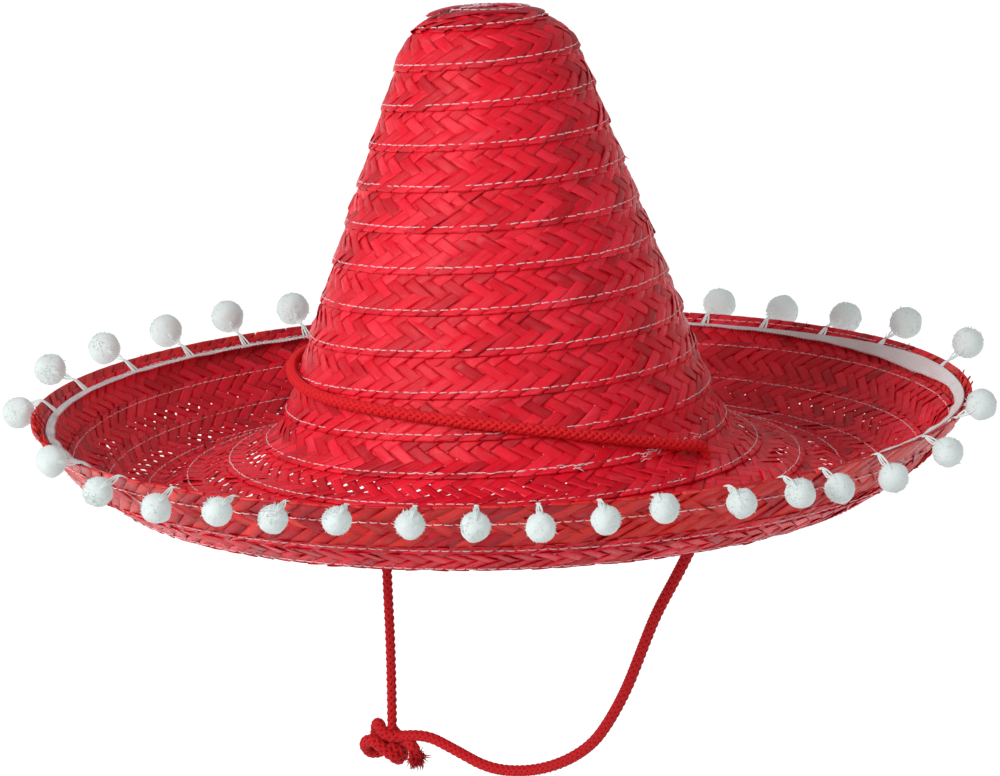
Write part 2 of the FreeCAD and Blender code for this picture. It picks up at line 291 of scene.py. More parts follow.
class Nodes:
    """Short way to write a node tree."""

    def __init__(self, name):
        self.material = bpy.data.materials.new(name)
        self.material.use_nodes = True
        self.tree = self.material.node_tree
        self.tree.nodes.clear()
        self.shader = self.add("ShaderNodeBsdfPrincipled")
        self.link(self.shader.outputs["BSDF"], self.add("ShaderNodeOutputMaterial").inputs["Surface"])

    def add(self, kind, **values):
        node = self.tree.nodes.new(kind)
        for key, value in values.items():
            setattr(node, key, value)
        return node

    def link(self, a, b):
        self.tree.links.new(a, b)

    def fill(self, socket, value):
        """Give a socket a number, a colour or the output of another node."""
        if isinstance(value, (int, float)):
            socket.default_value = value
        elif isinstance(value, tuple):
            socket.default_value = (*value, 1.0)
        else:
            self.link(value, socket)

    def attribute(self, name):
        return self.add("ShaderNodeAttribute", attribute_name=name)

    def math(self, operation, a, b=0.0):
        node = self.add("ShaderNodeMath", operation=operation)
        for socket, value in zip(node.inputs, (a, b)):
            self.fill(socket, value)
        return node.outputs[0]

    def scaled(self, vector, scale):
        node = self.add("ShaderNodeVectorMath", operation="MULTIPLY")
        self.link(vector, node.inputs[0])
        node.inputs[1].default_value = scale
        return node.outputs[0]

    def noise(self, vector, scale, detail=3.0, roughness=0.55):
        node = self.add("ShaderNodeTexNoise")
        node.inputs["Scale"].default_value = scale
        node.inputs["Detail"].default_value = detail
        node.inputs["Roughness"].default_value = roughness
        self.link(vector, node.inputs["Vector"])
        return node.outputs["Fac"]

    def ramp(self, value, stops):
        node = self.add("ShaderNodeValToRGB")
        elements = node.color_ramp.elements
        while len(elements) < len(stops):
            elements.new(0.5)
        for element, (place, colour) in zip(elements, stops):
            element.position = place
            element.color = (*colour, 1.0)
        self.link(value, node.inputs["Fac"])
        return node.outputs["Color"]

    def mix(self, factor, a, b, blend="MIX"):
        node = self.add("ShaderNodeMix", data_type="RGBA", blend_type=blend)
        for key, value in (("Factor", factor), ("A", a), ("B", b)):
            self.fill(node.inputs[key], value)
        return node.outputs["Result"]

    def bump(self, height, strength, distance):
        node = self.add("ShaderNodeBump")
        node.inputs["Strength"].default_value = strength
        node.inputs["Distance"].default_value = distance
        self.link(height, node.inputs["Height"])
        return node.outputs["Normal"]

    def set(self, **values):
        for key, value in values.items():
            self.fill(self.shader.inputs[key.replace("_", " ")], value)


def straw_material(name, warm, painted_shade_gain):
    """Dyed palm leaf: fibres along each ribbon, uneven dye, a waxy gloss and pale worn spots."""
    n = Nodes(name)
    ribbon = n.attribute("ribbon").outputs["Vector"]
    tone_and_shade = n.attribute("tone_and_shade").outputs["Fac"]
    fibres = n.noise(n.scaled(ribbon, (0.14, 3.6, 7.0)), 1.0, 4.0, 0.65)
    fine = n.noise(n.scaled(ribbon, (0.4, 12.0, 9.0)), 1.0, 2.0, 0.6)
    patch = n.noise(n.scaled(ribbon, (0.09, 0.14, 5.0)), 1.0, 2.0, 0.5)
    gloss = n.noise(n.scaled(ribbon, (0.05, 0.05, 3.3)), 1.0, 1.0, 0.5)
    # painted_shade_gain below 1 darkens the reds and the pale spots: painted shade for the rim and tip copies.
    colour = n.ramp(
        tone_and_shade,
        [
            (0.0, (0.13, 0.004, 0.008)),
            (0.12, (0.33, 0.005, 0.012)),
            (0.30, (0.60 * painted_shade_gain, 0.006, 0.018)),
            (0.62, (0.79 * painted_shade_gain, 0.006 + warm, 0.024 - warm)),
            (1.0, (0.90 * painted_shade_gain, 0.020 + 2 * warm, 0.046 - warm)),
        ],
    )
    streak = n.ramp(fibres, [(0.22, (0.50, 0.45, 0.45)), (0.52, (1.0, 1.0, 1.0)), (0.82, (1.10, 1.5, 1.5))])
    colour = n.mix(0.85, colour, streak, "MULTIPLY")
    faded = n.ramp(patch, [(0.54, (0.0, 0.0, 0.0)), (0.80, (1.0, 1.0, 1.0))])
    colour = n.mix(n.math("MULTIPLY", faded, 0.24), colour, (0.90 * painted_shade_gain, 0.12 + 2 * warm, 0.17 - warm))
    rough = n.math("ADD", n.math("MULTIPLY", gloss, 0.36), n.math("MULTIPLY", fibres, 0.26))
    height = n.math("ADD", n.math("MULTIPLY", fibres, 0.7), n.math("MULTIPLY", fine, 0.3))
    n.set(Base_Color=colour, Roughness=rough, Normal=n.bump(height, 0.6, 0.00035), Specular_IOR_Level=0.23)
    return n.material


def thread_material(name, light, dark, scale, painted_glow=0.0):
    """Cotton thread or yarn: soft fuzz and slightly uneven colour."""
    n = Nodes(name)
    place = n.add("ShaderNodeTexCoord").outputs["Object"]
    fuzz = n.noise(place, scale, 4.0, 0.7)
    stain = n.noise(place, scale * 0.06, 2.0, 0.5)
    uneven = n.math("ADD", n.math("MULTIPLY", fuzz, 0.6), n.math("MULTIPLY", stain, 0.4))
    colour = n.ramp(uneven, [(0.3, dark), (0.62, light)])
    n.set(Base_Color=colour, Roughness=0.85, Normal=n.bump(fuzz, 0.6, 0.00025))
    n.set(Specular_IOR_Level=0.3, Sheen_Weight=0.15, Sheen_Roughness=0.6)
    # Painted glow: emission in the cotton's own colour fills its shaded side, standing in for light scattered
    # inside thick cotton.
    n.set(Emission_Color=colour, Emission_Strength=painted_glow)
    return n.material


def cord_material(name, painted_light_gain):
    """Soft braided polyester: matt red yarn with painted shade between the strands, fine filaments along each
    one.
    """
    n = Nodes(name)
    ribbon = n.attribute("ribbon").outputs["Vector"]
    depth = n.attribute("tone_and_shade").outputs["Fac"]
    filament = n.noise(n.scaled(ribbon, (0.9, 9.0, 3.0)), 1.0, 3.0, 0.6)
    reds = [(0.0, (0.27, 0.003, 0.006)), (0.40, (0.45, 0.005, 0.009)), (1.0, (0.56, 0.008, 0.013))]
    # Here tone_and_shade is painted shade: darkest in the braid's gaps and on the under side of each yarn.
    colour = n.ramp(depth, reds)
    shade = n.ramp(filament, [(0.3, (0.75, 0.7, 0.7)), (0.65, (1.06, 1.1, 1.1))])
    colour = n.mix(0.8, colour, shade, "MULTIPLY")
    # The whole colour is scaled by painted_light_gain: above 1 it is painted light.
    colour = n.mix(1.0, colour, (painted_light_gain, painted_light_gain, painted_light_gain), "MULTIPLY")
    n.set(Base_Color=colour, Roughness=0.78, Normal=n.bump(filament, 0.5, 0.00025))
    n.set(Specular_IOR_Level=0.25, Sheen_Weight=0.08, Sheen_Roughness=0.5, Sheen_Tint=(1.0, 0.3, 0.3))
    return n.material


def tape_material():
    """Woven cotton tape: ribs along it, threads across, and a little red dye rubbed into it."""
    n = Nodes("woven_tape")
    ribbon = n.attribute("ribbon").outputs["Vector"]
    place = n.add("ShaderNodeSeparateXYZ")
    n.link(ribbon, place.inputs[0])
    across = n.math("SINE", n.math("MULTIPLY", place.outputs["X"], 8.0))
    along = n.math("SINE", n.math("MULTIPLY", place.outputs["Y"], 6.3))
    weave = n.math("MULTIPLY", across, along)
    fuzz = n.noise(ribbon, 2.2, 4.0, 0.7)
    stain = n.noise(n.scaled(ribbon, (0.03, 0.15, 1.0)), 1.0, 3.0, 0.6)
    colour = n.ramp(fuzz, [(0.3, (0.72, 0.67, 0.67)), (0.6, (0.92, 0.89, 0.89))])
    pink = n.ramp(stain, [(0.42, (0.0, 0.0, 0.0)), (0.72, (1.0, 1.0, 1.0))])
    colour = n.mix(n.math("MULTIPLY", pink, 0.30), colour, (0.82, 0.46, 0.46))
    height = n.math("ADD", n.math("MULTIPLY", weave, 0.5), n.math("MULTIPLY", fuzz, 0.5))
    n.set(Base_Color=colour, Roughness=0.88, Normal=n.bump(height, 0.7, 0.0004), Sheen_Weight=0.3)
    return n.material


STRAW = straw_material("dyed_straw", 0.0, 1.0)
# Rim copy of the straw: its own warmer tint, and darker by 0.86 as painted shade.
SHADED_RIM_STRAW = straw_material("dyed_straw_rim_painted_shade", 0.010, 0.86)
# Tip copy of the straw: darker by 0.72, a painted shade on the crown's top.
SHADED_TIP_STRAW = straw_material("dyed_straw_tip_painted_shade", 0.0, 0.72)
THREAD = thread_material("sewing_thread", (0.88, 0.64, 0.66), (0.66, 0.34, 0.37), 2500.0)
# The pompoms' cotton glows at 0.40: painted light on their shaded side.
POMPOM = thread_material("pompom_cotton", (0.50, 0.55, 0.54), (0.43, 0.48, 0.47), 900.0, 0.40)
CORD = cord_material("braided_cord", 0.96)
# Crown copy of the cord, brightened as painted light.
LIT_CORD = cord_material("braided_cord_crown_painted_light", 1.4)
TAPE = tape_material()

# ---- plaited straw
RIBBON_PITCH = 9.5
LEVELS = 7
ROWS_ACROSS = 27
RIBBON_THICK = 0.34
WEAVE_RISE = 0.25
MID_LIFT = 0.52
STRIP_WIDTH = 26.2
# Section of a ribbon: eight places across it, the first five on its upper face.
ACROSS = np.array([-1, -0.55, 0, 0.55, 1, 1, 0, -1])
FACE = np.array([1, 1, 1, 1, 1, -1, -1, -1])


def strip_place(turns):
    """Upper edge of the strip, its width, and the lift of its back per millimetre down it."""
    upper = seam(turns) - LAP_ABOVE
    lower = np.minimum(seam(np.asarray(turns) + 1.0) + LAP_BELOW, RIM)
    lower = np.where(turns > END_TURN - 1.0, RIM, lower)
    width = lower - upper
    slope = LAP_LIFT / np.where(turns < CROWN_TURNS, CROWN_PITCH, BRIM_PITCH)
    full = np.where(turns > BRIM_TURNS - 1.0, np.maximum(width, STRIP_WIDTH), width)
    return lower - full, full, slope, upper


def ease(x):
    x = np.clip(x, 0.0, 1.0)
    return x * x * (3 - 2 * x)


def woven_height(level, over_first):
    """+1 where the ribbon lies on top, -1 where it lies below, against its level across the strip."""
    under = ease((level - 2.5) / 0.42 + 0.5) - ease((level - 4.5) / 0.42 + 0.5)
    return (1 - 2 * under) * (1 if over_first else -1)


def looseness(turns):
    """How far the ribbons of the brim's floor stand apart: most on the left and in front."""
    floor = ease((turns - 12.4) / 0.4) * (1 - 0.45 * ease((turns - 16.2) / 0.6))
    floor = floor * (1 - ease((turns - 17.7) / 0.4))
    angle = spiral_angle(turns) % 360
    side = 0.25 + 0.75 * ease((angle - 120) / 40) * (1 - ease((angle - 285) / 30))
    return 0.46 * floor * side


def ribbons(first, last):
    """Both families of ribbons of the strip between two places of the spiral."""
    parts = []
    for family in (0, 1):
        sign = -1.0 if family else 1.0
        low = math.ceil(x_at(first) / RIBBON_PITCH - sign * LEVELS / 4)
        high = math.ceil(x_at(last) / RIBBON_PITCH - sign * LEVELS / 4)
        index = np.arange(low, high)
        count = len(index)
        rng = np.random.default_rng(int(1000 + low * 2 + family))
        level = np.linspace(0, LEVELS, ROWS_ACROSS)
        fold = np.radians([180, 140, 95, 50]) if family == 0 else np.zeros(0)
        levels = np.concatenate([np.zeros(len(fold)), level, np.full(len(fold), LEVELS)])
        folds = np.concatenate([fold, np.zeros(ROWS_ACROSS), fold[::-1]])
        ends = np.concatenate([-np.ones(len(fold)), np.zeros(ROWS_ACROSS), np.ones(len(fold))])
        m = len(levels)
        x_mid = (index[:, None] + sign * levels / 2) * RIBBON_PITCH
        # Small drifts: the ribbon wanders sideways and is not equally wide all along.
        phase = rng.uniform(0, 2 * np.pi, (count, 3))
        drift = 0.22 * np.sin(levels * 0.9 + phase[:, :1]) + rng.normal(0, 0.12, (count, 1))
        turns = turns_at(x_mid)
        upper, width, slope, course_upper = strip_place(turns)
        u = upper + levels / LEVELS * width
        local = RIBBON_PITCH * radius_at(np.maximum(u, 3.0)) / np.maximum(np.interp(turns, TURNS, MID_R), 6.0)
        floor = np.exp(-(((levels - 3.6) / 1.5) ** 4))
        loosened = looseness(turns) * rng.uniform(0.3, 1.05, (count, 1)) * floor
        share = 0.985 + rng.uniform(-0.055, 0.03, (count, 1)) + 0.025 * np.sin(levels * 1.3 + phase[:, 1:2])
        wide = np.minimum(RIBBON_PITCH * share, local * 1.04) * (1 - loosened)
        drift = drift[:, :, None] * np.minimum(local / RIBBON_PITCH, 1.0)[:, :, None]
        c = ACROSS * wide[:, :, None] / 2 + drift
        round_r = np.maximum(radius_at(np.maximum(u, 2.0)), 2.0)[:, :, None]
        angle = spiral_angle(turns)[:, :, None] - np.degrees(c / round_r)
        relative = levels[:, None] + sign * ACROSS * (wide / RIBBON_PITCH)[:, :, None] / 2
        rise = WEAVE_RISE * woven_height(relative, family == 0)
        ripple = np.sin(np.pi * relative / LEVELS * 2 + phase[:, 2][:, None, None]) ** 2
        loose = np.abs(rng.normal(0, 0.20, (count, 1, 1))) * ripple
        top = 0.19 * (1 - ACROSS**2) + loose * (rise > 0)
        out_h = np.cos(folds)[:, None]
        out_u = (np.sin(folds) * ends)[:, None]
        half = RIBBON_THICK / 2 * FACE
        lift = slope[:, :, None] * (u[:, :, None] - course_upper[:, :, None]) + MID_LIFT
        cant = rng.normal(0, 0.06, (count, 1)) + 0.03 * np.sin(levels * 1.7 + phase[:, :1])
        lift = lift + (rise + half + top + cant[:, :, None] * c) * out_h
        place = u[:, :, None] + out_u * (WEAVE_RISE + 0.1 + half)
        points = surface(place, angle, lift)
        length = np.broadcast_to((levels * width / LEVELS * 1.6)[:, :, None], c.shape)
        ids = np.broadcast_to(rng.uniform(0, 60, (count, 1, 1)), c.shape)
        ribbon = np.stack([length, c, ids], axis=-1)
        tone_and_shade = rng.normal(0.55, 0.19, count)
        dark = rng.uniform(0, 1, count)
        tone_and_shade = np.where(dark < 0.010, rng.uniform(0.30, 0.40, count), np.where(dark > 0.92, tone_and_shade + 0.3, tone_and_shade))
        tones = np.broadcast_to(np.clip(tone_and_shade, 0.24, 1.0)[:, None, None], c.shape)
        quads = np.concatenate([grid_quads(count, m, 8), end_caps(count, m, 8)])
        points = points.reshape(-1, 3)
        data = {"ribbon": ribbon.reshape(-1, 3), "tone_and_shade": tones.ravel()}
        parts.append((points, outward(points, quads), [], data))
    return merge(parts)


CROWN = ["crown_course_%02d" % (i + 1) for i in range(12)] + ["crown_foot_course"]
BRIM = ["brim_course_%02d" % (i + 1) for i in range(5)] + ["rim_course"]
for number, node in enumerate(CROWN + BRIM):
    first = START_TURN + number
    straw = SHADED_RIM_STRAW if node == "rim_course" else STRAW
    place_piece(node + "_weave", ribbons(first, first + 1.0), straw, node)

# ---- stitches
SEAM_TURNS = np.arange(START_TURN + 1, END_TURN + 0.001, TURN_STEP)
SEAM_X = np.concatenate([[0.0], np.cumsum(2 * np.pi * TURN_STEP * radius_at(seam(SEAM_TURNS))[1:])])
STITCH_PITCH = 4.5
FOOT_SEAM = 12.45


def stitch_row(start, outside):
    """Running stitches along the whole seam, on the outside or the inside of the hat."""
    rng = np.random.default_rng(7 + int(outside))
    middle = np.arange(start, SEAM_X[-1] - 3.0, STITCH_PITCH)
    middle = middle + rng.normal(0, 0.16, len(middle))
    count = len(middle)
    half = 1.9 + rng.normal(0, 0.14, (count, 1))
    run = np.array([-1.0, -0.86, -0.4, 0.0, 0.4, 0.86, 1.0])
    turns = np.interp(middle[:, None] + run * half, SEAM_X, SEAM_TURNS)
    wander = 0.25 * np.sin(middle / 31.0) + rng.normal(0, 0.10, count)
    slant = rng.normal(0, 0.13, (count, 1))
    at = seam(turns) + wander[:, None] + slant * run
    sink = np.array([0.62, 0.16, 0.02, 0.0, 0.02, 0.16, 0.62])
    if outside:
        slope = LAP_LIFT / np.where(turns - 1 < CROWN_TURNS, CROWN_PITCH, BRIM_PITCH)
        lift = slope * (at - seam(turns - 1) + LAP_ABOVE) + MID_LIFT + WEAVE_RISE + 0.47 - sink
        # Where the crown meets the brim the thread was run twice and stands off in loose loops.
        front = spiral_angle(turns.mean(axis=1)) % 360
        near = (np.abs(front - 268.0) < 18) | (np.abs(front - 311.0) < 9)
        foot = near & (np.abs(turns.mean(axis=1) - FOOT_SEAM) < 0.5)
        loops = foot & (rng.uniform(0, 1, count) < 0.45)
        lift = lift + np.where(loops, rng.uniform(0.3, 1.1, count), 0.0)[:, None] * (1 - run**2)
        at = at + np.where(loops, rng.normal(0, 0.5, count), 0.0)[:, None] * (1 - run**2)
    else:
        lift = 0.12 + sink * 0.9 + 0.07 * (at - seam(turns))
    path = surface(at, spiral_angle(turns), lift)
    up = surface(at, spiral_angle(turns), lift + 1.0) - path
    radii = np.array([0.16, 0.25, 0.28, 0.27, 0.28, 0.25, 0.16]) * (1 + rng.normal(0, 0.06, (count, 1)))
    points, quads = tubes(path, radii, up, 5)
    return points, quads, [], {}


place_piece("seam_stitches_outside", stitch_row(1.0, True), THREAD, "seam_thread")
place_piece("seam_stitches_inside", stitch_row(3.2, False), THREAD)

# ---- rim: tape, thread roots and pompoms
# Where each pompom is tied (angle round the rim) and how high its stem points, in degrees.
POMPOMS = [
    (10.0, 40), (27.5, 30), (39.5, 10), (50.0, 5), (59.5, 10), (68.5, 10), (78.5, 15),
    (88.5, 10), (98.5, 25), (108.5, 20), (118.5, 35), (128.5, 40), (138.5, 30), (150.0, 25),
    (163.0, 20), (176.0, -30), (213.0, 10), (222.0, -25), (231.0, -35), (239.5, -20), (246.0, -25),
    (253.0, -20), (260.5, -25), (267.0, -30), (273.5, -40), (280.0, -30), (286.0, -15), (294.5, -25),
    (301.5, -25), (307.0, -35), (316.0, -50), (326.0, -30), (336.5, 30),
]
TAPE_WIDTH, TAPE_LIFT, TOOTH = 6.0, 3.8, 2.1
POMPOM_R, POMPOM_R_BACK, POMPOM_REACH = 7.8, 1.4, 12.5


def rim_frame(angle):
    edge = surface(RIM, angle, 0.0)
    onward = edge - surface(RIM - 1.0, angle, 0.0)
    onward /= np.linalg.norm(onward)
    a = math.radians(angle)
    sideways = np.array([-math.sin(a), math.cos(a), 0.0])
    return edge, onward, np.cross(onward, sideways), sideways


def rim_point(angle, past, up, aside=0.0):
    edge, onward, above, sideways = rim_frame(angle)
    return edge + onward * past + above * up + sideways * aside


def pompom_tape():
    """The trim tape: sewn down along its outer edge, so that its inner edge stands off the straw."""
    angles = np.arange(0, 360, 0.15)
    # Round the hat: how it leans off the straw, how wide it shows, how far inside the rim it starts.
    places = [0, 8, 16, 28, 40, 55, 100, 150, 200, 240, 300, 322, 335, 350, 360]
    lean = np.interp(angles, places, [12, 4, 2, 6, 12, 34, 40, 40, 36, 30, 30, 26, 20, 14, 12])
    widths = [4.6, 6.5, 8.5, 6.2, 3.4, 2.2, 2.0, 2.7, 3.4, 4.4, 4.2, 4.4, 4.8, 4.6, 4.6]
    wide = np.interp(angles, places, widths)
    insets = [3.2, 3.2, 3.2, 4.4, 6.0, 7.0, 7.2, 7.2, 7.0, 7.2, 6.6, 3.2, 2.6, 2.8, 3.2]
    inset = np.interp(angles, places, insets)[:, None]
    share = np.linspace(0, 1, 9)
    length = (np.radians(angles) * RIM_R)[:, None]
    teeth = np.abs((length / TOOTH) % 1.0 - 0.5) * 1.9
    wide = wide[:, None] + teeth * (share > 0.9)
    down = share * wide * np.cos(np.radians(lean))[:, None]
    wave = 0.35 * np.sin(length / 7.1) + 0.3 * np.sin(length / 3.9 + 1)
    off = share * wide * np.sin(np.radians(lean))[:, None] + share**2 * wave
    rib = 0.13 * np.cos(share * 6 * np.pi) + 0.12 * np.sin(2 * np.pi * (length / TOOTH - share))
    middle = surface(RIM - inset - down, angles[:, None], TAPE_LIFT + off)
    above = surface(RIM - inset - down, angles[:, None], TAPE_LIFT + off + 1.0) - middle
    half = 0.30 + rib
    top = middle + above * half[..., None]
    low = middle - above * half[..., None]
    ring = np.concatenate([top, low[:, ::-1]], axis=1)
    n, k = ring.shape[:2]
    quads = grid_quads(1, n + 1, k) % (n * k)
    across = np.concatenate([share, share[::-1]]) * TAPE_WIDTH + np.zeros((n, 1))
    along = length + np.zeros((1, k))
    ribbon = np.stack([along, across, np.zeros_like(along)], axis=-1).reshape(-1, 3)
    points = ring.reshape(-1, 3)
    return points, outward(points, quads), [], {"ribbon": ribbon}


def smooth_path(points, steps=6):
    """Catmull-Rom curve through a few points."""
    p = np.asarray(points, float)
    p = np.concatenate([[2 * p[0] - p[1]], p, [2 * p[-1] - p[-2]]])
    out = []
    for i in range(1, len(p) - 2):
        f = (np.arange(steps) / steps)[:, None]
        a, b, c, d = p[i - 1 : i + 3]
        square, cube = 2 * a - 5 * b + 4 * c - d, 3 * b - a - 3 * c + d
        out.append(0.5 * (2 * b + (c - a) * f + square * f**2 + cube * f**3))
    return np.concatenate(out + [p[-2:-1]])


def fan(routes, radius, rng):
    """A few separate yarns, each through its own points."""
    parts = []
    for route in routes:
        points, quads = strand(smooth_path(route, 5), radius * (1 + rng.normal(0, 0.1)))
        parts.append((points, quads, [], {}))
    return merge(parts)


YARNS = (-1.0, 0.1, 0.9)
rng = np.random.default_rng(33)
roots = []
for angle, tilt in POMPOMS:
    routes = []
    for k in YARNS:
        # Distance past the rim, height over it and distance aside, from the tape to the hinge.
        out = k * (2.1 + rng.normal(0, 0.3))
        route = [(-8.6, 3.4, out), (-6.4, 3.3, out * 0.9), (-3.2, 2.8, out * 0.66)]
        route += [(-1.0, 2.5, k * 0.85), (0.5, 1.9, k * 0.7), (1.5, 1.2, k * 0.6)]
        routes.append([rim_point(angle, *step) for step in route])
    roots.append(fan(routes, 0.46, rng))
place_piece("pompom_thread_roots", merge(roots), POMPOM)
place_piece("pompom_tape_woven", pompom_tape(), TAPE, "pompom_tape")


def sphere_mesh():
    bm = bmesh.new()
    bmesh.ops.create_icosphere(bm, subdivisions=4, radius=1.0)
    points = np.array([v.co for v in bm.verts])
    tris = np.array([[v.index for v in f.verts] for f in bm.faces])
    bm.free()
    return points, tris


BALL_POINTS, BALL_TRIS = sphere_mesh()
FIBRES, LONG_FIBRES = 520, 46


def lumps(points, rng, count, size):
    """Smooth random bumps over a unit sphere."""
    way = rng.normal(0, 1, (count, 3))
    way /= np.linalg.norm(way, axis=1, keepdims=True)
    depth = rng.uniform(-1, 1, count)
    near = np.exp(((points @ way.T) - 1) / size)
    return near @ depth


def spikes(base, way, length, radius, rng):
    """Three-sided tapered fibres standing on a surface."""
    guess = rng.normal(0, 1, way.shape)
    side = np.cross(way, guess)
    side /= np.linalg.norm(side, axis=1, keepdims=True)
    other = np.cross(way, side)
    turn = 2 * np.pi * np.arange(3) / 3
    foot = base[:, None, :] + radius[:, None, None] * (
        np.cos(turn)[None, :, None] * side[:, None, :] + np.sin(turn)[None, :, None] * other[:, None, :]
    )
    tip = base + way * length[:, None] + guess * 0.12 * length[:, None]
    points = np.concatenate([foot, tip[:, None, :]], axis=1)
    one = np.array([[0, 1, 3], [1, 2, 3], [2, 0, 3], [2, 1, 0]])
    tris = one[None] + 4 * np.arange(len(base))[:, None, None]
    return points.reshape(-1, 3), tris.reshape(-1, 3)


def pompom(number, angle, tilt):
    """Ball of cut cotton yarn round its tie, with the yarns of its stem running up over it."""
    rng = np.random.default_rng(500 + number)
    radius = POMPOM_R + POMPOM_R_BACK * math.sin(math.radians(angle))
    size = radius - 0.35
    stretch = 1 + rng.normal(0, 0.022, 3)
    swell = 0.62 * lumps(BALL_POINTS, rng, 22, 0.07) + 0.10 * lumps(BALL_POINTS, rng, 170, 0.006)
    centre = np.array([POMPOM_REACH, 0.0, 0.0])
    body = BALL_POINTS * stretch * (size + swell)[:, None] + centre
    way = rng.normal(0, 1, (FIBRES, 3))
    way /= np.linalg.norm(way, axis=1, keepdims=True)
    away = way + rng.normal(0, 0.45, (FIBRES, 3))
    away /= np.linalg.norm(away, axis=1, keepdims=True)
    length = rng.uniform(0.45, 0.95, FIBRES)
    length[:LONG_FIBRES] = rng.uniform(1.0, 2.2, LONG_FIBRES)
    # The side turned to the straw is cropped.
    length = np.where(way[:, 2] < -0.35, length * 0.5, length)
    hair, hair_tris = spikes(centre + way * (size - 0.25), away, length, rng.uniform(0.18, 0.42, FIBRES), rng)
    parts = [(body, [], BALL_TRIS, {}), (hair, [], hair_tris, {})]
    a, t = math.radians(angle), math.radians(tilt)
    turn_z = np.array([[math.cos(a), -math.sin(a), 0], [math.sin(a), math.cos(a), 0], [0, 0, 1]])
    raise_y = np.array([[math.cos(t), 0, -math.sin(t)], [0, 1, 0], [math.sin(t), 0, math.cos(t)]])
    # The yarns are combed over the side of the ball that the wearer's front shows.
    root = np.array([-1.0, 0.0, 0.0])
    placed = turn_z @ raise_y
    shown = np.array([0.0, -0.976, 0.219]) @ placed
    past = root - shown * (root @ shown)
    end = shown + 0.42 * past / np.linalg.norm(past)
    end /= np.linalg.norm(end)
    arc = math.acos(np.clip(root @ end, -1, 1))
    aside = np.cross(shown, past)
    aside /= np.linalg.norm(aside)
    routes = []
    for k in YARNS:
        route = [(-0.2, 0.6 * k, 0.0), tuple(root * -1.4 + aside * 0.75 * k)]
        for share in (0.12, 0.4, 0.7, 1.0):
            way = (math.sin((1 - share) * arc) * root + math.sin(share * arc) * end) / math.sin(arc)
            out = radius + (0.25 if share < 1 else -0.6)
            route.append(tuple(centre + way * out + aside * k * (1.35 - 1.15 * share)))
        routes.append(route)
    parts.append(fan(routes, 0.40, rng))
    points, quads, tris, data = merge(parts)
    return points @ placed.T + rim_point(angle, 1.5, 1.3), quads, tris, {}


for number, (angle, tilt) in enumerate(POMPOMS, start=1):
    node = "pompom_%02d" % number
    place_piece(node + "_ball", pompom(number, angle, tilt), POMPOM, node, node)

# ---- chin cord
# The same routes as the CAD's, in millimetres: round the crown, and the two legs that hang to the knot.
CORD_R = 2.5
LINE_STEP = 0.42
BRAID_LAY, EACH_WAY = 14.4, 4
CROWN_ROUTE = [
    (318.0, 240.7, 6.6), (304.0, 231.0, 6.6), (290.0, 224.0, 6.6), (276.0, 219.0, 6.6), (262.0, 215.8, 6.6),
    (248.0, 213.0, 6.6), (234.0, 211.5, 6.6), (220.0, 210.5, 6.6), (206.0, 209.2, 6.6), (191.0, 207.0, 6.6),
    (176.0, 205.0, 6.6), (162.0, 204.2, 6.6), (150.0, 205.0, 6.6), (140.5, 206.3, 6.6), (135.7, 210.3, 6.3),
    (133.9, 216.5, 4.0), (133.1, 222.6, -3.6),
]
RIGHT_HOLE = [(92.6, -66.3, -21.5), (93.0, -66.7, -15.0), (90.5, -69.6, -9.5)]
LEFT_LEG = [
    (-60.6, 66.4, -20.5), (-60.2, 66.1, -52.0), (-60.9, 66.8, -100.0), (-60.3, 66.3, -146.0),
    (-61.5, 67.4, -183.5),
]
RIGHT_LEG = [
    (-56.5, 62.9, -185.3), (-45.0, 52.9, -181.0), (-30.0, 39.9, -185.5), (-12.0, 24.3, -191.8),
    (7.5, 7.4, -188.3), (24.5, -7.3, -179.5), (38.5, -19.4, -166.8), (47.5, -27.2, -151.5),
    (55.5, -34.1, -134.0), (62.3, -40.0, -114.5), (69.3, -46.1, -95.0), (78.2, -53.8, -76.5),
    (86.5, -61.0, -58.0), (91.4, -65.2, -38.5), (92.6, -66.3, -21.5),
]


def spline_line(name, points):
    """Evenly spaced points read from a smooth NURBS spline with these control points, in mm."""
    curve = bpy.data.curves.new(name, "CURVE")
    curve.dimensions = "3D"
    curve.resolution_u = 24
    spline = curve.splines.new("NURBS")
    spline.points.add(len(points) - 1)
    for target, point in zip(spline.points, points):
        target.co = (*[float(v) * MM for v in point], 1.0)
    spline.order_u = 3
    spline.use_endpoint_u = True
    holder = bpy.data.objects.new(name, curve)
    mesh = bpy.data.meshes.new_from_object(holder)
    line = np.array([v.co for v in mesh.vertices]) / MM
    bpy.data.objects.remove(holder)
    bpy.data.meshes.remove(mesh)
    run = np.concatenate([[0.0], np.cumsum(np.linalg.norm(np.diff(line, axis=0), axis=1))])
    even = np.linspace(0, run[-1], int(run[-1] / LINE_STEP))
    return np.stack([np.interp(even, run, line[:, i]) for i in range(3)], axis=1), run[-1]


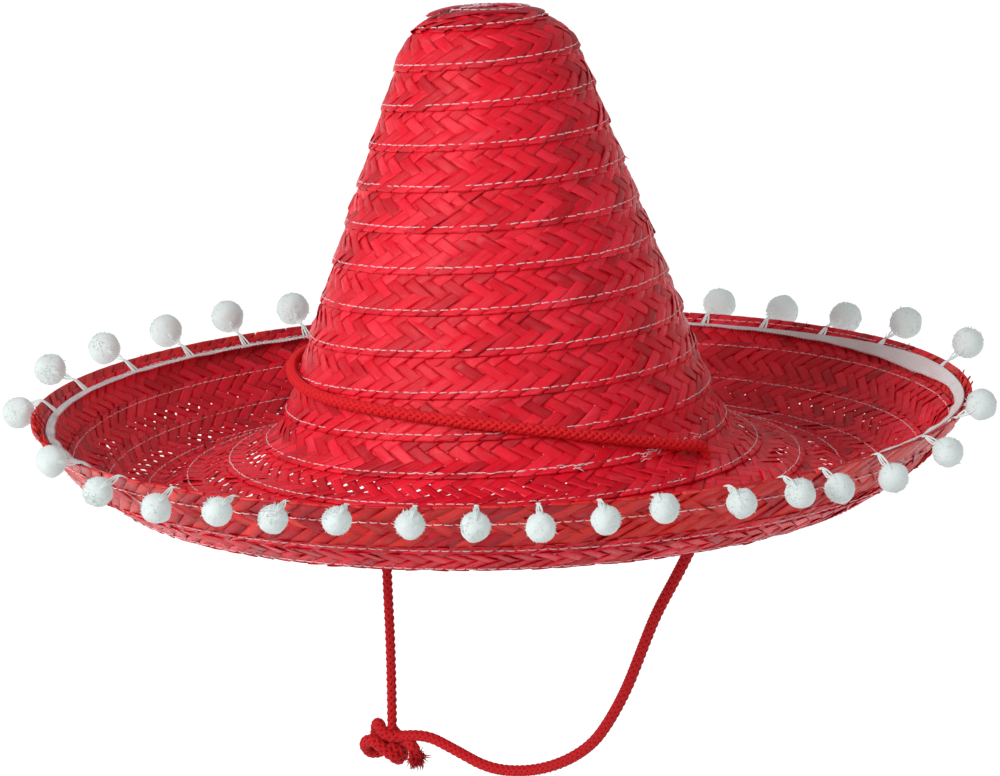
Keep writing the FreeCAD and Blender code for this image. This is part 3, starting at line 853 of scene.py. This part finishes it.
def braid(line, length, radius):
    """A round braid: yarns run both ways round the line and pass over and under each other."""
    along, ups = transported(line)
    sides = np.cross(along, ups)
    s = np.linspace(0, length, len(line))
    yarn = radius * 0.38
    middle = radius - yarn
    paths, tones = [], []
    for way in (1.0, -1.0):
        wave = way * np.cos(2 * np.pi * EACH_WAY * s / BRAID_LAY)
        for k in range(EACH_WAY):
            turn = way * 2 * np.pi * s / BRAID_LAY + 2 * np.pi * k / EACH_WAY
            out = middle + 0.19 * wave
            paths.append(line + out[:, None] * (np.cos(turn)[:, None] * ups + np.sin(turn)[:, None] * sides))
            tones.append(0.5 + 0.5 * wave)
    paths = np.array(paths)
    points, quads = tubes(paths, yarn, paths - line[None], 6)
    n, m = paths.shape[:2]
    # Painted shade: each yarn is darker where it passes under the other way and on its side turned to the
    # core.
    rim = np.cos(2 * np.pi * np.arange(6) / 6) * 0.3
    tone_and_shade = np.clip(np.array(tones)[:, :, None] * 0.6 + 0.2 + rim, 0, 1)
    around = np.broadcast_to(2 * np.pi * np.arange(6) / 6 * yarn, (n, m, 6))
    down = np.broadcast_to(s[None, :, None] * 1.2, (n, m, 6))
    ids = np.broadcast_to(np.arange(n)[:, None, None] * 3.7, (n, m, 6))
    data = {"tone_and_shade": tone_and_shade.ravel(), "ribbon": np.stack([down, around, ids], axis=-1).reshape(-1, 3)}
    core_points, core_quads = tubes(line[None], np.full((1, m), middle), ups[None], 10)
    # The core is given the darkest colour, a painted shade seen in the gaps between the yarns.
    core_data = {"tone_and_shade": np.zeros(len(core_points)), "ribbon": core_points}
    return merge([(points, quads, [], data), (core_points, core_quads, [], core_data)])


crown_points = RIGHT_HOLE + [surface(u, a, lift) for a, u, lift in CROWN_ROUTE]
inside_left = crown_points[-1]
leaving = inside_left - crown_points[-2]
left_points = [inside_left, inside_left + leaving / np.linalg.norm(leaving) * 8.0] + LEFT_LEG

line, length = spline_line("crown_run_route", crown_points)
braided = braid(line, length, CORD_R * 1.06)
place_piece("chin_cord_crown_braid", braided, LIT_CORD, "chin_cord_crown_run")

# The knot: each end is wound round the other. The left one comes out as a short frayed tail.
KNOT_CENTRE = np.array([-64.5, 70.0, -190.5])
KNOT_AXES = np.array([[0.7556, -0.655, 0.0], [-0.655, -0.7556, 0.0], [0.0, 0.0, 1.0]])
KNOT_FROM_LEFT = [
    (4.3, -0.4, 7.0), (4.0, -4.0, 3.6), (-0.6, -7.0, -1.0), (-6.5, -5.6, -6.4), (-11.4, -1.0, -8.2),
    (-13.0, 2.6, -4.4), (-9.0, 6.0, 0.6), (-3.0, 7.6, 3.2), (3.5, 6.4, -1.2), (8.6, 2.6, -6.2),
    (6.2, -3.4, -8.6), (-0.5, -4.0, -7.0), (-2.6, -1.2, -2.6), (4.0, -3.4, 0.4), (11.0, -2.6, 2.6),
    (16.6, -0.6, 2.0), (19.8, 0.2, -1.4), (20.6, 0.4, -5.4),
]
KNOT_FROM_RIGHT = [
    (10.7, 0.0, 5.2), (5.6, 3.2, 4.6), (0.0, 3.6, 6.6), (-4.4, 0.6, 9.4), (-9.6, -3.2, 7.4),
    (-11.6, -4.4, 1.6), (-8.0, -2.0, -2.6), (-3.4, -6.6, 3.4), (2.4, -7.4, -3.4), (7.0, -4.6, -7.6),
    (9.0, 0.0, -3.0), (4.0, 3.0, 0.0),
]


def fray(point, way, rng):
    """Loose filaments at the end of a cut cord."""
    count, reach = 420, 6.6
    way = way / np.linalg.norm(way)
    base = point - way * 2.2 + rng.normal(0, 1.25, (count, 3))
    spread = way + rng.normal(0, 0.62, (count, 3))
    spread /= np.linalg.norm(spread, axis=1, keepdims=True)
    length = rng.uniform(0.5, 1.0, count) * reach
    points, tris = spikes(base, spread, length, rng.uniform(0.45, 0.80, count), rng)
    return points, [], tris, {"tone_and_shade": np.full(len(points), 0.75), "ribbon": points}


rng = np.random.default_rng(12)
parts = []
for name, local in (("knot_left_route", KNOT_FROM_LEFT), ("knot_right_route", KNOT_FROM_RIGHT)):
    placed = [KNOT_CENTRE + np.array(p) @ KNOT_AXES for p in local]
    line, length = spline_line(name, placed)
    parts.append(braid(line, length, CORD_R * 1.24))
    if local is KNOT_FROM_LEFT:
        parts.append(fray(line[-1], line[-1] - line[-6], rng))
knot = place_piece("chin_knot_tied", merge(parts), CORD, "chin_knot")

for name, points_mm in (("chin_cord_leg_left", left_points), ("chin_cord_leg_right", RIGHT_LEG[::-1])):
    line, length = spline_line(name + "_route", points_mm)
    braided = braid(line, length, CORD_R * (1.10 if name.endswith("right") else 1.0))
    leg = place_piece(name + "_braid", braided, CORD, name)

# ---- start of the strip on the crown's tip
def plan_surface(xy, lift):
    xy = np.asarray(xy, float)
    return surface(np.hypot(xy[..., 0], xy[..., 1]), np.degrees(np.arctan2(xy[..., 1], xy[..., 0])), lift)


def flat_strip(line, lifts, width, rng):
    """A ribbon laid over the tip: its line seen from above (x, y) and its height off the crown along it."""
    t = np.linspace(0, 1, 15)
    knots = np.linspace(0, 1, len(line))
    line = np.asarray(line, float)
    xy = np.stack([np.interp(t, knots, line[:, 0]), np.interp(t, knots, line[:, 1])], axis=-1)
    lift = np.interp(t, np.linspace(0, 1, len(lifts)), lifts) + rng.normal(0, 0.04, len(t))
    way = np.gradient(xy, axis=0)
    way /= np.linalg.norm(way, axis=1, keepdims=True)
    side = np.stack([-way[:, 1], way[:, 0]], axis=-1)
    wide = width * (0.94 + 0.07 * np.sin(t * 7 + rng.uniform(0, 6)))
    wide = wide * np.clip(np.minimum(t, 1 - t) * 9 + 0.45, 0, 1)
    c = ACROSS * wide[:, None] / 2
    place = xy[:, None, :] + side[:, None, :] * c[..., None]
    curl = rng.normal(0, 0.05) * c
    height = lift[:, None] + RIBBON_THICK / 2 * FACE + 0.12 * (1 - ACROSS**2) + curl
    points = plan_surface(place, height)
    quads = np.concatenate([grid_quads(1, 15, 8), end_caps(1, 15, 8)])
    ids = np.full(c.shape, rng.uniform(0, 60))
    ribbon = np.stack([np.broadcast_to((t * 30)[:, None], c.shape), c, ids], axis=-1).reshape(-1, 3)
    tone_and_shade = np.full(ribbon.shape[0], np.clip(rng.normal(0.5, 0.2), 0.15, 0.95))
    points = points.reshape(-1, 3)
    return points, outward(points, quads), [], {"ribbon": ribbon, "tone_and_shade": tone_and_shade}


def tip_folds():
    rng = np.random.default_rng(5)
    parts = []
    for family, heading in ((0, 14.0), (1, 96.0)):
        way = np.array([math.cos(math.radians(heading)), math.sin(math.radians(heading))])
        side = np.array([-way[1], way[0]])
        for i in range(5):
            offset = (i - 2) * 8.6 + rng.normal(0, 0.5)
            half = math.sqrt(max(21.5**2 - offset**2, 60.0)) + rng.normal(0, 0.8)
            ends = np.linspace(-half, half, 9)
            lifts = []
            for j, e in enumerate(ends):
                over = 1 if (round((e + 30) / 8.6) + i + family) % 2 else -1
                lifts.append(2.0 + 0.26 * over if 0 < j < 8 else 0.95)
            parts.append(flat_strip([way * e + side * (offset + 0.02 * e) for e in ends], lifts, 8.8, rng))
    loose = [
        ([(-27.5, -7.5), (-19, -5), (-9, -2), (1, 1), (8, 2)], [4.3, 3.5, 2.9, 2.8, 2.4], 7.6),
        ([(-22, -13), (-12, -17.5), (0, -18.5), (11, -17), (19, -11)], [2.0, 2.9, 3.0, 2.8, 1.9], 7.0),
        ([(-6, 15), (3, 9), (11, 1), (18, -9), (20, -13)], [1.9, 2.9, 3.1, 2.8, 1.8], 8.0),
        ([(-19, 9), (-12, 13), (-2, 15), (8, 16), (15, 14)], [1.6, 2.8, 3.0, 2.7, 1.8], 7.4),
        ([(20, 10), (22, 3), (22.5, -4), (20, -12)], [1.8, 2.7, 2.8, 1.8], 6.6),
    ]
    for line, lifts, width in loose:
        parts.append(flat_strip(line, lifts, width, rng))
    return merge(parts)


def sewn(line, rng):
    """Stitches along a line seen from above, over the folded ribbons."""
    line = np.asarray(line, float)
    run = np.concatenate([[0.0], np.cumsum(np.linalg.norm(np.diff(line, axis=0), axis=1))])
    middle = np.arange(2.0, run[-1] - 1.5, 4.3)[:, None] + rng.normal(0, 0.15, (1, 1))
    at = middle + np.array([-1.0, -0.8, 0.0, 0.8, 1.0]) * 1.75
    xy = np.stack([np.interp(at, run, line[:, 0]), np.interp(at, run, line[:, 1])], axis=-1)
    xy = xy + rng.normal(0, 0.12, (len(middle), 1, 2))
    height = 3.25 - np.array([[0.7, 0.1, 0.0, 0.1, 0.7]])
    path = plan_surface(xy, height)
    up = plan_surface(xy, height + 1.0) - path
    points, quads = tubes(path, np.full(at.shape, 0.24), up, 6)
    return points, quads, [], {}


place_piece("crown_tip_folds", tip_folds(), SHADED_TIP_STRAW, "crown_tip")

rng = np.random.default_rng(9)
circle = [(18.5 * math.cos(math.radians(a)), 18.5 * math.sin(math.radians(a))) for a in range(150, 420, 12)]
tip_lines = [
    circle,
    [(2.0, -4.0), (-17.0, -12.0), (-21.0, -11.5)],
    [(-15.0, 4.0), (2.0, -4.0), (-13.0, -8.0)],
    [(-20.0, 4.0), (-4.0, 9.0), (14.0, 7.0), (20.0, 0.0)],
    [(4.0, 12.0), (16.0, -8.0)],
]
place_piece("crown_tip_stitches", merge([sewn(line, rng) for line in tip_lines]), THREAD)

# ---- splinters and thread ends


def splinters(count):
    """Broken tips of straw that stand off the lapped edges and the rim."""
    rng = np.random.default_rng(21)
    turns = rng.uniform(1.5, END_TURN, count)
    lower = seam(turns) + LAP_BELOW
    anywhere = rng.uniform(0, 360, count)
    beside = np.abs(anywhere[:, None] - np.array(POMPOMS)[:, 0]).min(axis=1) > 2.4
    rim = (rng.uniform(0, 1, count) < 0.35) & beside
    lower = np.where(rim, RIM, np.minimum(lower, RIM))
    angle = np.where(rim, anywhere, spiral_angle(turns))
    lift = np.where(rim, 1.6, 2.1)
    base = surface(lower - 1.5, angle, lift)
    down = surface(lower, angle, lift) - surface(lower - 1.0, angle, lift)
    off = surface(lower, angle, lift + 1.0) - surface(lower, angle, lift)
    sideways = np.cross(down, off) * rng.normal(0, 0.8, (count, 1))
    way = down + off * rng.uniform(-0.1, 0.7, (count, 1)) + sideways
    way /= np.linalg.norm(way, axis=1, keepdims=True)
    points, tris = spikes(base, way, rng.uniform(2.4, 5.0, count), rng.uniform(0.3, 0.7, count), rng)
    ids = np.repeat(rng.uniform(0, 60, count), 4)
    down, c = np.tile([0.0, 0.0, 0.0, 4.0], count), np.tile([0.0, 0.5, 1.0, 0.5], count)
    ribbon = np.stack([down, c, ids], axis=-1)
    tone_and_shade = np.repeat(np.clip(rng.normal(0.5, 0.2, count), 0.1, 1), 4)
    return points, [], tris, {"ribbon": ribbon, "tone_and_shade": tone_and_shade}


place_piece("straw_splinters", splinters(260), STRAW, smooth=False)


def torn_tips():
    """Broken, curled ribbon ends where the two sides of the rim have been crushed."""
    rng = np.random.default_rng(77)
    t = np.linspace(0, 1, 10)[:, None]
    parts = []
    for middle, spread, count in ((-4.0, 9.0, 18), (194.0, 12.0, 20)):
        for _ in range(count):
            edge, onward, above, sideways = rim_frame(middle + rng.uniform(-spread, spread))
            foot, tip = rng.uniform(-11.0, -5.0), rng.uniform(-2.5, 2.6)
            curl, lean, twist = rng.uniform(0.2, 1.0), rng.normal(0, 0.45), rng.normal(0, 0.5)
            path = edge + onward * (foot + (tip - foot) * t) + above * (1.7 + 2.4 * curl * t**2)
            path = path + sideways * lean * (tip - foot) * t
            side = sideways * np.cos(twist * t) + above * np.sin(twist * t)
            wide = rng.uniform(2.6, 4.6) * np.clip(1.9 - 1.8 * t, 0.1, 1)
            c = ACROSS * wide / 2
            thick = RIBBON_THICK / 2 * FACE + 0.3 * (1 - ACROSS**2)
            points = (path[:, None] + side[:, None] * c[..., None] + above * thick[:, None]).reshape(-1, 3)
            quads = np.concatenate([grid_quads(1, 10, 8), end_caps(1, 10, 8)])
            ribbon = np.stack([t * 8 + 0 * c, c, np.full(c.shape, rng.uniform(0, 60))], axis=-1).reshape(-1, 3)
            data = {"ribbon": ribbon, "tone_and_shade": np.full(len(points), rng.uniform(0.3, 0.95))}
            parts.append((points, outward(points, quads), [], data))
    return merge(parts)


place_piece("rim_torn_tips", torn_tips(), SHADED_RIM_STRAW)


def thread_ends():
    """Loose ends and slack loops of thread where the seam was sewn twice at the foot of the crown."""
    rng = np.random.default_rng(14)
    parts = []
    for angle, count in ((316.0, 10), (306.0, 6), (288.0, 4), (38.0, 5), (327.0, 5)):
        for _ in range(count):
            turns = np.interp((angle + rng.normal(0, 3.5) - 20.0) % 360, [0, 360], [0, 1])
            nearest = END_TURN - turns - math.floor(END_TURN - turns - FOOT_SEAM + 0.5)
            u = float(seam(nearest))
            a = float(spiral_angle(nearest))
            du = np.cumsum(rng.normal(0, 0.55, 6)) + rng.normal(0, 0.9)
            da = np.linspace(-1, 1, 6) * rng.uniform(0.7, 1.9) * (1 if rng.uniform() < 0.5 else -1)
            lift = np.concatenate([[2.2], rng.uniform(2.7, 3.6, 4), [2.4]])
            points, quads = strand(smooth_path(surface(u + du, a + da, lift), 4), 0.19)
            parts.append((points, quads, [], {}))
    # A second run of thread lies along the same seam in front.
    a = np.linspace(247.0, 299.0, 60)
    nearest = FOOT_SEAM + ((END_TURN - FOOT_SEAM) - (a - 20.0) / 360 + 0.5) % 1.0 - 0.5
    u = seam(nearest) + 0.35 * np.sin(a * 0.9) + rng.normal(0, 0.16, len(a))
    lift = 2.55 + 0.3 * np.sin(a * 2.3) + rng.normal(0, 0.1, len(a))
    points, quads = strand(smooth_path(surface(u, a, lift), 4), 0.26)
    parts.append((points, quads, [], {}))
    return merge(parts)


place_piece("seam_thread_ends", thread_ends(), THREAD)

# ---- camera, light and floor


def make_camera():
    """Straight at the front, 12.7 degrees above, 1.5 m from the foot of the crown, rolled 1.9 degrees."""
    tilt, roll, reach, focal = math.radians(12.7), math.radians(1.9), 1.5, 3120.0
    ahead = Vector((0, math.cos(tilt), -math.sin(tilt)))
    right, up = Vector((1, 0, 0)), Vector((0, math.sin(tilt), math.cos(tilt)))
    picture_right = right * math.cos(roll) - up * math.sin(roll)
    picture_up = right * math.sin(roll) + up * math.cos(roll)
    aim = (ahead * focal + picture_right * (500 - 504) + picture_up * (474 - 388)).normalized()
    picture_right = (picture_right - aim * picture_right.dot(aim)).normalized()
    picture_up = picture_right.cross(aim)
    data = bpy.data.cameras.new("camera")
    data.sensor_width = 36.0
    data.lens = focal * 36.0 / 1000
    data.clip_start, data.clip_end = 0.05, 50.0
    camera = bpy.data.objects.new("camera", data)
    bpy.context.scene.collection.objects.link(camera)
    turn = Matrix((picture_right, picture_up, -aim)).transposed()
    camera.matrix_world = Matrix.Translation(Vector((0, 0, -0.036)) - ahead * reach) @ turn.to_4x4()
    bpy.context.scene.camera = camera


def area_light(name, place, target, size, power):
    data = bpy.data.lights.new(name, "AREA")
    data.shape = "RECTANGLE"
    data.size, data.size_y = size, size
    data.energy = power
    light = bpy.data.objects.new(name, data)
    light.location = place
    light.rotation_mode = "QUATERNION"
    light.rotation_quaternion = (Vector(target) - Vector(place)).to_track_quat("-Z", "Y")
    bpy.context.scene.collection.objects.link(light)


FLOOR_DROP, FLOOR_RINGS, SPOKES = 160.0, (400.0, 90000.0), 64


def studio():
    n = Nodes("paper_floor_painted_glow")
    place = n.add("ShaderNodeTexCoord").outputs["Object"]
    grain = n.noise(place, 60.0, 3.0)
    n.set(Base_Color=n.ramp(grain, [(0.3, (0.56, 0.56, 0.56)), (0.7, (0.60, 0.60, 0.60))]), Roughness=0.95)
    n.shader.inputs["Emission Color"].default_value = (1.0, 1.0, 1.0, 1.0)
    # Painted light: the floor glows white, brightest on the sweep behind the hat; in front of it the glow is
    # dimmer, a painted shade.
    back = n.add("ShaderNodeSeparateXYZ")
    n.link(place, back.inputs[0])
    spread = n.add("ShaderNodeMapRange", interpolation_type="SMOOTHSTEP")
    n.link(back.outputs["Y"], spread.inputs["Value"])
    for socket, value in (("From Min", -0.15), ("From Max", 0.36), ("To Min", 0.27), ("To Max", 0.84)):
        spread.inputs[socket].default_value = value
    n.link(spread.outputs["Result"], n.shader.inputs["Emission Strength"])
    floor_z = cad_box[0].z / MM - FLOOR_DROP
    turn = 2 * np.pi * np.arange(SPOKES) / SPOKES
    rings = [np.stack([r * np.cos(turn), r * np.sin(turn), 0 * turn + floor_z], axis=-1) for r in FLOOR_RINGS]
    disc = np.concatenate(rings)
    quads = [[k, k + SPOKES, (k + 1) % SPOKES + SPOKES, (k + 1) % SPOKES] for k in range(SPOKES)]
    middle = [[0, k, k + 1] for k in range(1, SPOKES - 1)]
    floor = build("floor", disc, quads, middle, n.material, False)
    world = bpy.data.worlds.new("studio")
    world.use_nodes = True
    background = world.node_tree.nodes["Background"].inputs
    background["Color"].default_value = (1.0, 1.0, 1.0, 1.0)
    background["Strength"].default_value = 0.38
    bpy.context.scene.world = world
    area_light("key", (-1.55, -1.25, 0.85), (0, 0, 0.05), 0.9, 36.0)
    area_light("fill", (1.0, -2.0, 0.9), (0, 0, 0), 1.0, 9.0)
    bpy.context.scene.view_settings.view_transform = "Standard"


make_camera()
studio()
